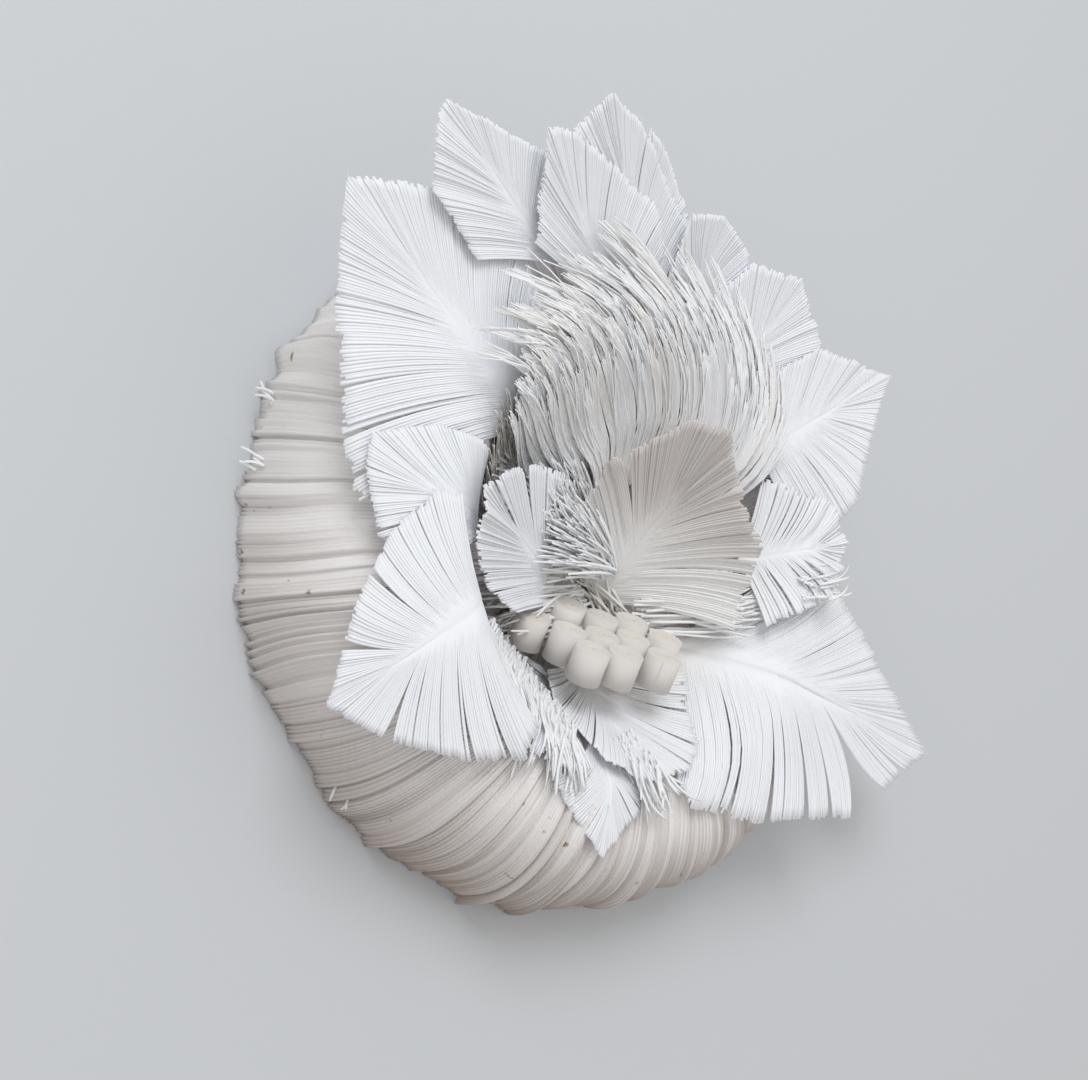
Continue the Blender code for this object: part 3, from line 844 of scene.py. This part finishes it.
def tuft_piece(tuft, seed, sizes):
    """A tuft's strips as ribbons, each rolled about its own line."""
    random = np.random.default_rng(seed)
    path = tuft_paths(tuft, random)
    roll = TUFT_ROLL * either_way(random, tuft.strips)
    # Painted shade, scaled at random from one strip to the next
    tone = tuft.tone * random.uniform(*TUFT_TONE, tuft.strips)
    tone = np.repeat(tone[:, None], STRAND_ROWS, axis=1)
    size = (sizes.loose_width, sizes.strand_thickness)
    return add_ribbons("loose_" + tuft.name, path, roll, *size, tone, "leaf paper")


# Pod


def strip_azimuth(turn, climb):
    """Azimuth along a strip of the pod that starts at a share of the turn: on its way up it swirls
    towards the tall side, at the crown as at the front, faster at its foot, and it wavers."""
    start = 360 * turn
    swirl = SWIRL + SWIRL_SWING * np.cos(np.radians(start - SWIRL_SIDE))
    bow, snake = [wander(turn, *waver, round_trip=True) for waver in WAVERS]
    strays = bow * 4 * climb * (1 - climb) + snake * np.sin(2 * np.pi * climb)
    return start + swirl * (1 - (1 - climb) ** SWIRL_POWER) + WAVER * strays


def strip_relief(strip, across, turn, outer):
    """How far the strips stand out, and each one's place in its band from -1 to 1. Every strip
    starts raised over its neighbour and falls to its other edge, as every band of strips does, and
    all bunch into gathers of uneven depth."""
    random = np.random.default_rng(5)
    strips = strip[-1] + 1
    band, spot = bundles(strips, BAND, 21)
    rise = either_way(random, strips)
    band_shape = BAND_STEP * spot * rise[band] + BAND_LIFT * either_way(random, strips)[band]
    strip_step = STRIP_STEP * (0.5 - across) * (1 + STRIP_SPREAD * rise[strip])
    fade = smooth_step(outer, *GATHER_CHANGE)
    knots = (GATHERS, *FINE_GATHERS)
    broad, low, high = [wander(turn, n, 11 + i, round_trip=True) for i, n in enumerate(knots)]
    gather = GATHER_DEPTH * broad + FINE_GATHER_DEPTH * (low * (1 - fade) + high * fade)
    return gather + (strip_step + band_shape[strip])[:, None], spot[strip]


def pod_surface(strips):
    """The gathered body: three columns of points a strip, which go up the wall on an arc whose
    cosine and sine are raised to one power, then down into the hollow. Gives points and their
    painted shade: lines between the bands, low at the front and in the hollow."""
    strip = np.repeat(np.arange(strips), 3)
    across = np.tile(STRIP_COLUMNS, strips)
    turn = ((strip + across) / strips)[:, None]
    hollow_levels = 1 + np.linspace(0, 1, HOLLOW_ROWS)[1:]
    levels = np.concatenate((np.linspace(0, 1, WALL_ROWS), hollow_levels))[None, :]
    outer = np.minimum(levels, 1)
    inner = np.maximum(levels - 1, 0)
    azimuth = strip_azimuth(turn, outer)
    crest = crest_radius(azimuth)
    power = 2 / WALL_ROUNDNESS
    climb = outer * np.pi / 2
    wall_radius = crest + (rim_radius(azimuth) - crest) * np.cos(climb) ** power
    wall_height = crest_height(azimuth) * np.sin(climb) ** power
    hollow_radius = crest + (floor_radius(azimuth) - crest) * inner
    on_wall = inner == 0
    relief, spot = strip_relief(strip, across, turn, outer)
    relief *= 1 - HOLLOW_CALM * inner
    radius = np.where(on_wall, wall_radius + relief * np.cos(climb), hollow_radius)
    height = np.where(on_wall, wall_height, hollow_height(hollow_radius, azimuth))
    height = np.maximum(height + relief * np.sin(climb), 0)
    points = cylinder_points(radius, azimuth, height)
    # Painted shade: dark lines between the bands of strips
    lines = LINE_SHADE * np.abs(spot)[:, None] ** LINE_NARROWNESS * on_wall
    # Painted shade, low on the wall at the front
    front = (1 - swing(azimuth, FRONT_SHADE_SIDE)) ** FRONT_SHADE_NARROWNESS * (1 - outer) ** FRONT_SHADE_LOWNESS
    # The strongest of the three painted shades, the last one deeper in the hollow
    return points, np.maximum(np.maximum(lines, front), POD_HOLLOW_SHADE * smooth_step(inner))


def pod_piece(name, sizes):
    """The body's tube of points, closed by the roof of the recess in its back and by the floor of
    the hollow, each a fan around its middle. The steps between strips are left sharp."""
    strips = int(2 * np.pi * RIM_RADIUS / sizes.strip_width)
    points, shade = pod_surface(strips)
    columns = len(points)
    azimuth = np.degrees(np.arctan2(points[:, 0, 1], points[:, 0, 0]))
    recess = (DISC_RADIUS + CARD_GAP) * unit_vector(azimuth, 0)
    roof_middle = np.array((0, 0, DISC_THICKNESS + CARD_GAP))
    grid = np.concatenate(((recess + roof_middle)[:, None], recess[:, None], points), axis=1)
    rows = grid.shape[1]
    count = columns * rows
    quads = grid_quads(columns + 1, rows).reshape(columns, rows - 1, 4) % count
    is_step = np.arange(columns) % 3 == 2
    first = np.arange(columns) * rows
    last = first + rows - 1
    roof = np.stack((np.roll(first, -1), first, np.full(columns, count)), axis=-1)
    floor = np.stack((last, np.roll(last, -1), np.full(columns, count + 1)), axis=-1)
    faces = [
        (quads[~is_step].reshape(-1, 4), True),
        (quads[is_step].reshape(-1, 4), False),
        (roof, False),
        (floor, True),
    ]
    vertices = np.concatenate((grid.reshape(-1, 3), (roof_middle, (0, 0, HOLLOW_FLOOR))))
    shade = np.append(np.pad(shade, ((0, 0), (2, 0)), "edge"), (0, 1))
    return add_piece(name, vertices, faces, shade, "pod")


# Coils


def coil_axes():
    """Axes of the coil cluster: to its right, down the wall of the hollow, and along the coils."""
    axis = unit_vector(COIL_HEADING, COIL_RISE)
    right = unit_vector(COIL_HEADING - 90, 0)
    return right, np.cross(axis, right), axis


def coil_seat(place):
    """Middle of a coil's foot: level with the others, or raised until it clears what is below."""
    right, down, axis = coil_axes()
    middle = np.array((*polar_point(CLUSTER_PLACE), CLUSTER_HEIGHT))
    start = middle + (place[0] * right + place[1] * down) * MM
    angle = np.linspace(0, 2 * np.pi, SEAT_POINTS, endpoint=False)[:, None]
    ring = COIL_RADIUS * (np.cos(angle) * right + np.sin(angle) * down)
    heights = np.arange(0, 2 * POD_HEIGHT, SEAT_STEP)
    x, y, z = np.moveaxis(start + ring + heights[:, None, None] * axis, -1, 0)
    clear = np.all(z >= rest_at(x, y) + LAYER, axis=1)
    return start + heights[np.argmax(clear)] * axis


def coil_piece(name, place, seed, sizes):
    """A strip rolled up: a spiral whose radius grows by one pitch a turn, carried along the coil's
    axis, each turn a little higher or lower than the last."""
    random = np.random.default_rng(seed)
    right, down, axis = coil_axes()
    turns = (COIL_RADIUS - COIL_BORE) / COIL_PITCH
    steps = int(turns * COIL_STEPS)
    turn = np.linspace(0, turns, steps)
    angle = 2 * np.pi * (turn + random.random())[:, None]
    radius = COIL_BORE + COIL_PITCH * turn[:, None]
    spiral = radius * (np.cos(angle) * right + np.sin(angle) * down)
    uneven = COIL_UNEVENNESS * wander(turn / turns, COIL_KNOTS, seed + 1)
    height = uneven[:, None] + np.linspace(0, COIL_HEIGHT, COIL_ROWS)
    points = coil_seat(place) + spiral[:, None] + height[..., None] * axis
    quads = grid_quads(steps, COIL_ROWS)
    # Painted shade, deeper towards the coil's middle turns
    tone = np.repeat(COIL_MIDDLE_SHADE * (1 - turn / turns), COIL_ROWS)
    return add_sheet(name, points, quads, sizes.coil_thickness, tone, "coil")


# Materials

# Sockets of a Mix node that mixes colours
MIX_SHARE = 0
MIX_FIRST = 6
MIX_SECOND = 7
MIX_RESULT = 2


@dataclass
class Stock:
    """What a sheet is made of: its real name, the settings of its light, mottled and deep colours
    (the deep one mostly painted shade), its roughness, in mm the sizes of its mottle and its
    fibres and the fibres' depth, and the setting of the colour of its small stains."""

    name: str
    tones: tuple
    roughness: float
    mottle: float
    fibre: float
    depth: float
    specks: str = ""


STOCKS = {
    # Uncoated, cut with scissors: matt, cool white, with fibres just felt, and painted shade deep in
    # the hollow and at a petal's foot
    "leaf": Stock(
        "Wood-free paper, fringed with scissors",
        ("leaf", "leaf_mottle", "hollow"), 0.86, 9, 0.25, 0.03,
    ),
    # The same paper for the petal in the middle: its foot lighter than the leaves, which is painted
    # light, and painted shade that deepens towards its tip
    "petal": Stock(
        "Wood-free paper, handled",
        ("petal", "petal_mottle", "petal_tip_painted_shade"), 0.88, 7, 0.25, 0.03,
    ),
    # The same paper in fine strands, lighter than the leaves, which is painted light, with warm
    # painted shade at their roots, where light passes through many, and at the edges of their locks,
    # and locks warmer at random
    "strand": Stock(
        "Wood-free paper, cut into strands",
        ("strand", "leaf_mottle", "strand_shade_and_tone"), 0.86, 5, 0.25, 0.02,
    ),
    # Strips pulled tight and glued: warmer white, with duller patches from handling and small stains,
    # and warm painted shade between the bands, low at the front and in the hollow
    "pod": Stock(
        "Wood-free paper, gathered in strips",
        ("pod", "pod_mottle", "pod_painted_shade"), 0.88, 12, 0.3, 0.04, "speck",
    ),
    # Rolled on a needle: smoother than the leaves; greyer than their paper, which is painted shade,
    # and darker towards its middle turns, painted shade too
    "coil": Stock(
        "Quilling strip, rolled",
        ("coil", "coil_mottle", "hollow"), 0.8, 4, 0.3, 0.02,
    ),
    # Dull grey, with long fibres that show
    "card": Stock(
        "Grey board, die cut",
        ("card", "card_mottle", "card"), 0.92, 3, 0.5, 0.06,
    ),
    # Rolled paint: even and quite matt
    "floor": Stock(
        "Matt painted board",
        ("floor", "floor", "floor"), 0.95, 40, 0.6, 0.02,
    ),
}


def add_node(tree, kind, values=(), links=(), **properties):
    """Adds a shader node with its properties, its inputs' values and its links."""
    node = tree.nodes.new(kind)
    for key, value in properties.items():
        setattr(node, key, value)
    for socket, value in dict(values).items():
        node.inputs[socket].default_value = value
    for socket, source in dict(links).items():
        tree.links.new(source, node.inputs[socket])
    return node


def add_specks(tree, place, toned, speck):
    """Mixes the speck colour into the toned one where a fine noise peaks."""
    values = {"Scale": 1 / SPECK_SIZE, "Detail": 1}
    grain = add_node(tree, "ShaderNodeTexNoise", values, {"Vector": place})
    values = {"From Min": SPECK_RARITY, "From Max": 1, "To Max": SPECK_CONTRAST}
    peak = add_node(tree, "ShaderNodeMapRange", values, {"Value": grain.outputs["Fac"]})
    links = {MIX_SHARE: peak.outputs["Result"], MIX_FIRST: toned.outputs[MIX_RESULT]}
    return add_node(tree, "ShaderNodeMix", {MIX_SECOND: speck}, links, data_type="RGBA")


def stock_material(kind):
    """Matt stock, made the first time it is asked for: two tones mottled over the mottle's size, a
    third tone, mostly painted shade, where the piece's shade attribute says so, and fibres that
    roughen the surface."""
    stock = STOCKS[kind]
    if stock.name in bpy.data.materials:
        return bpy.data.materials[stock.name]
    material = bpy.data.materials.new(stock.name)
    material.use_nodes = True
    tree = material.node_tree
    shader = tree.nodes["Principled BSDF"]
    shader.inputs["Roughness"].default_value = stock.roughness
    colours = bpy.context.scene.paper_colours
    light, mottled, deep = [getattr(colours, tone) for tone in stock.tones]
    place = add_node(tree, "ShaderNodeTexCoord").outputs["Object"]
    values = {"Scale": 1 / (stock.mottle * MM), "Detail": 3, "Roughness": 0.6}
    mottle = add_node(tree, "ShaderNodeTexNoise", values, {"Vector": place})
    values = {MIX_FIRST: light, MIX_SECOND: mottled}
    links = {MIX_SHARE: mottle.outputs["Fac"]}
    mixed = add_node(tree, "ShaderNodeMix", values, links, data_type="RGBA")
    shade = add_node(tree, "ShaderNodeAttribute", attribute_name="shade")
    links = {MIX_SHARE: shade.outputs["Fac"], MIX_FIRST: mixed.outputs[MIX_RESULT]}
    # Mixes in the deep colour, mostly painted shade, as far as the shade attribute asks
    toned = add_node(tree, "ShaderNodeMix", {MIX_SECOND: deep}, links, data_type="RGBA")
    if stock.specks:
        toned = add_specks(tree, place, toned, getattr(colours, stock.specks))
    values = {"Scale": 1 / (stock.fibre * MM), "Detail": 4, "Roughness": 0.7}
    fibres = add_node(tree, "ShaderNodeTexNoise", values, {"Vector": place})
    values = {"Strength": 0.6, "Distance": stock.depth * MM}
    bump = add_node(tree, "ShaderNodeBump", values, {"Height": fibres.outputs["Fac"]})
    tree.links.new(toned.outputs[MIX_RESULT], shader.inputs["Base Color"])
    tree.links.new(bump.outputs["Normal"], shader.inputs["Normal"])
    return material


# Settings


def distance(name, description, default):
    return FloatProperty(
        name=name, description=description, default=default, min=0, unit="LENGTH", precision=5
    )


def colour(name, description, hex_colour):
    return FloatVectorProperty(
        name=name, description=description, default=linear(hex_colour), size=4, subtype="COLOR",
        min=0, max=1,
    )


class PaperSizes(bpy.types.PropertyGroup):
    """Sizes of the cut paper."""

    leaf_thickness: distance("Leaf thickness", "Thickness of the leaves' paper", 0.14 * MM)
    barb_width: distance("Barb width", "Distance between cuts along a leaf's longer edge", 0.45 * MM)
    strand_width: distance("Strand width", "Width of a strand of the fringes", 0.27 * MM)
    strand_thickness: distance("Strand thickness", "Thickness of the fringes' paper", 0.06 * MM)
    loose_width: distance("Loose strip width", "Width of the loose curled strips", 0.4 * MM)
    strip_width: distance("Strip width", "Distance between the strips round the pod's rim", 0.52 * MM)
    coil_thickness: distance("Coil thickness", "Thickness of the rolled strip", 0.16 * MM)


class PaperColours(bpy.types.PropertyGroup):
    """Colours of the papers and the stage."""

    leaf: colour("Leaf", "Lighter tone of the leaves", "#F1F3F7")
    leaf_mottle: colour("Leaf mottle", "Darker tone of the leaves", "#E9EBEF")
    # Painted light: the middle petal's foot is lighter than the leaf paper
    petal: colour("Petal", "Lighter tone of the handled petal's foot", "#F6F6F6")
    petal_mottle: colour("Petal mottle", "Darker tone of the handled petal's foot", "#EEEDEC")
    # Painted shade towards the middle petal's tip
    petal_tip_painted_shade: colour("Petal tip", "Tone of the handled petal towards its tip", "#D2CDCA")
    # Painted light: the strands are lighter than the leaf paper
    strand: colour("Strand", "Lighter tone of the strands", "#F7F8F9")
    # Painted shade at the strands' roots and lock edges, and a warm tone for some locks at random
    strand_shade_and_tone: colour("Strand root", "Warm tone of the strands among others", "#EFEAE0")
    pod: colour("Pod", "Lighter tone of the pod", "#F4F3F3")
    pod_mottle: colour("Pod mottle", "Darker tone of the pod", "#EAE6E3")
    # Painted shade between the gathers, low at the front and in the hollow
    pod_painted_shade: colour("Pod lines", "Warm tone between the gathers and low at the front", "#B9ABA1")
    speck: colour("Specks", "Small brown stains on the pod", "#A58A70")
    # Painted shade on leaves deep in the hollow, at a petal's foot and in the coils' middle turns
    hollow: colour("Hollow", "Tone of the paper deep in the hollow", "#E2DCCB")
    # Painted shade: the coils are greyer than the leaf paper
    coil: colour("Coil", "Lighter tone of the coils", "#E1DDD9")
    coil_mottle: colour("Coil mottle", "Darker tone of the coils", "#D6D1CC")
    card: colour("Card", "Lighter tone of the back card", "#B9B4AA")
    card_mottle: colour("Card mottle", "Darker tone of the back card", "#A39E94")
    floor: colour("Floor", "Colour of the floor", "#C6C9CC")


# Operators


class PAPER_OT_gather_pod(bpy.types.Operator):
    """Wraps the pod in gathered strips"""

    bl_idname = "paper.gather_pod"
    bl_label = "Gather the pod"

    def execute(self, context):
        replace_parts(pod_piece("gathered_pod", context.scene.paper_sizes), "pod")
        return {"FINISHED"}


class PAPER_OT_cut_leaves(bpy.types.Operator):
    """Cuts and lays the fringed leaves"""

    bl_idname = "paper.cut_leaves"
    bl_label = "Cut the leaves"

    def execute(self, context):
        sizes = context.scene.paper_sizes
        for seed, leaf in enumerate(LEAVES, start=100):
            surface = partial(leaf_surface, leaf)
            piece = fringed_piece(leaf, surface, leaf_line(leaf)[2], seed, sizes, "leaf")
            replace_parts(piece, leaf.name)
        return {"FINISHED"}


class PAPER_OT_stand_petals(bpy.types.Operator):
    """Cuts the petals and stands them in the hollow"""

    bl_idname = "paper.stand_petals"
    bl_label = "Stand the petals"

    def execute(self, context):
        sizes = context.scene.paper_sizes
        for seed, petal in enumerate(PETALS, start=200):
            surface = partial(petal_surface, petal)
            stock = "petal" if petal.painted_shade else "leaf"
            piece = fringed_piece(petal, surface, petal.length * MM, seed, sizes, stock)
            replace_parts(piece, petal.name)
        return {"FINISHED"}


class PAPER_OT_cut_fringes(bpy.types.Operator):
    """Cuts the banks of fine strands that line the hollow"""

    bl_idname = "paper.cut_fringes"
    bl_label = "Cut the fringes"

    def execute(self, context):
        for number, fringe in enumerate(FRINGES):
            piece = fringe_piece(fringe, 300 + 10 * number, context.scene.paper_sizes)
            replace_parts(piece, fringe.name)
        return {"FINISHED"}


class PAPER_OT_curl_tufts(bpy.types.Operator):
    """Curls the loose strips that stand among the leaves"""

    bl_idname = "paper.curl_tufts"
    bl_label = "Curl the tufts"

    def execute(self, context):
        for seed, tuft in enumerate(TUFTS, start=500):
            tuft_piece(tuft, seed, context.scene.paper_sizes)
        return {"FINISHED"}


class PAPER_OT_roll_coils(bpy.types.Operator):
    """Rolls the coils"""

    bl_idname = "paper.roll_coils"
    bl_label = "Roll the coils"

    def execute(self, context):
        sizes = context.scene.paper_sizes
        for number, place in enumerate(COILS, start=1):
            node = f"coil_{number:02d}"
            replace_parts(coil_piece("rolled_" + node, place, 400 + number, sizes), node)
        return {"FINISHED"}


class PAPER_OT_finish_card(bpy.types.Operator):
    """Gives the back card its surface"""

    bl_idname = "paper.finish_card"
    bl_label = "Finish the card"

    def execute(self, context):
        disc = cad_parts["base_disc"]
        disc.data.materials.clear()
        disc.data.materials.append(stock_material("card"))
        return {"FINISHED"}


class PAPER_OT_set_stage(bpy.types.Operator):
    """Sets the floor, the lamp, the world and the camera"""

    bl_idname = "paper.set_stage"
    bl_label = "Set the stage"

    def execute(self, context):
        add_floor()
        add_lamp()
        add_world()
        add_camera()
        context.scene.view_settings.view_transform = "Standard"
        return {"FINISHED"}


# Stage


def add_floor():
    """A level floor just under the pod, far wider than the view."""
    corners = np.array(((-1, -1), (1, -1), (1, 1), (-1, 1))) * FLOOR_REACH
    vertices = np.column_stack((corners, np.full(4, -FLOOR_DROP)))
    mesh = bpy.data.meshes.new("floor")
    mesh.from_pydata(vertices.tolist(), [], [(0, 1, 2, 3)])
    mesh.materials.append(stock_material("floor"))
    add_object("floor", mesh)


def aim(item, place, back, up):
    """Puts an object at a place, looking against the direction back, with up towards the top."""
    back = Vector(back).normalized()
    right = Vector(up).cross(back).normalized()
    upright = back.cross(right)
    turn = Matrix((right, upright, back)).transposed().to_4x4()
    item.matrix_world = Matrix.Translation(place) @ turn


def add_lamp():
    """A broad lamp beyond the crown, a little to its left. Pi squared watts a metre away light what
    faces them as a world of strength 1 does. With the world it adds up to about one on the leaves,
    so that a colour renders as it is written."""
    towards = Vector(LAMP_DIRECTION).normalized()
    lamp = bpy.data.lights.new("Broad soft lamp", "AREA")
    lamp.shape = "DISK"
    lamp.size = LAMP_SIZE
    lamp.energy = LAMP_STRENGTH * math.pi**2 * LAMP_DISTANCE**2
    lamp.color = linear(LAMP_COLOUR)[:3]
    item = add_object(lamp.name, lamp)
    aim(item, towards * LAMP_DISTANCE, towards, (0, 0, 1))


def add_world():
    """A pale world, brighter overhead than at the horizon and below."""
    world = bpy.data.worlds.new("Pale room")
    world.use_nodes = True
    tree = world.node_tree
    background = tree.nodes["Background"]
    background.inputs["Color"].default_value = linear(WORLD_COLOUR)
    place = add_node(tree, "ShaderNodeTexCoord").outputs["Generated"]
    height = add_node(tree, "ShaderNodeSeparateXYZ", links={"Vector": place}).outputs["Z"]
    values = {"To Min": WORLD_AT_HORIZON, "To Max": WORLD_OVERHEAD}
    strength = add_node(tree, "ShaderNodeMapRange", values, {"Value": height})
    tree.links.new(strength.outputs["Result"], background.inputs["Strength"])
    bpy.context.scene.world = world


def add_camera():
    """The photograph's view: from above the tall side's front, turned so that the crown is up."""
    data = bpy.data.cameras.new("Camera")
    data.lens = CAMERA_FOCAL_PIXELS / PICTURE_WIDTH * data.sensor_width
    data.clip_start = MM
    camera = add_object("Camera", data)
    aim(camera, CAMERA_PLACE, unit_vector(-90, CAMERA_ELEVATION), CAMERA_UP)
    bpy.context.scene.camera = camera


STAGE_FIRST = (PAPER_OT_set_stage,)
PIECE_OPERATORS = (
    PAPER_OT_gather_pod,
    PAPER_OT_cut_leaves,
    PAPER_OT_stand_petals,
    PAPER_OT_cut_fringes,
    PAPER_OT_curl_tufts,
    PAPER_OT_roll_coils,
    PAPER_OT_finish_card,
)


class PAPER_PT_sculpture(bpy.types.Panel):
    """Lists the steps that make the sculpture"""

    bl_idname = "PAPER_PT_sculpture"
    bl_label = "Paper cut sculpture"
    bl_space_type = "VIEW_3D"
    bl_region_type = "UI"
    bl_category = "Paper"

    def draw(self, context):
        layout = self.layout
        for group in (context.scene.paper_sizes, context.scene.paper_colours):
            for key in group.__annotations__:
                layout.prop(group, key)
        for operator in STAGE_FIRST + PIECE_OPERATORS:
            layout.operator(operator.bl_idname)


CLASSES = (PaperSizes, PaperColours, *STAGE_FIRST, *PIECE_OPERATORS, PAPER_PT_sculpture)


def register():
    for item in CLASSES:
        bpy.utils.register_class(item)
    bpy.types.Scene.paper_sizes = PointerProperty(type=PaperSizes)
    bpy.types.Scene.paper_colours = PointerProperty(type=PaperColours)


def unregister():
    del bpy.types.Scene.paper_colours
    del bpy.types.Scene.paper_sizes
    for item in reversed(CLASSES):
        bpy.utils.unregister_class(item)


def main():
    """Makes every piece."""
    register()
    bpy.ops.paper.set_stage()
    bpy.ops.paper.gather_pod()
    bpy.ops.paper.cut_leaves()
    bpy.ops.paper.stand_petals()
    bpy.ops.paper.cut_fringes()
    bpy.ops.paper.curl_tufts()
    bpy.ops.paper.roll_coils()
    bpy.ops.paper.finish_card()


if __name__ == "__main__":
    main()
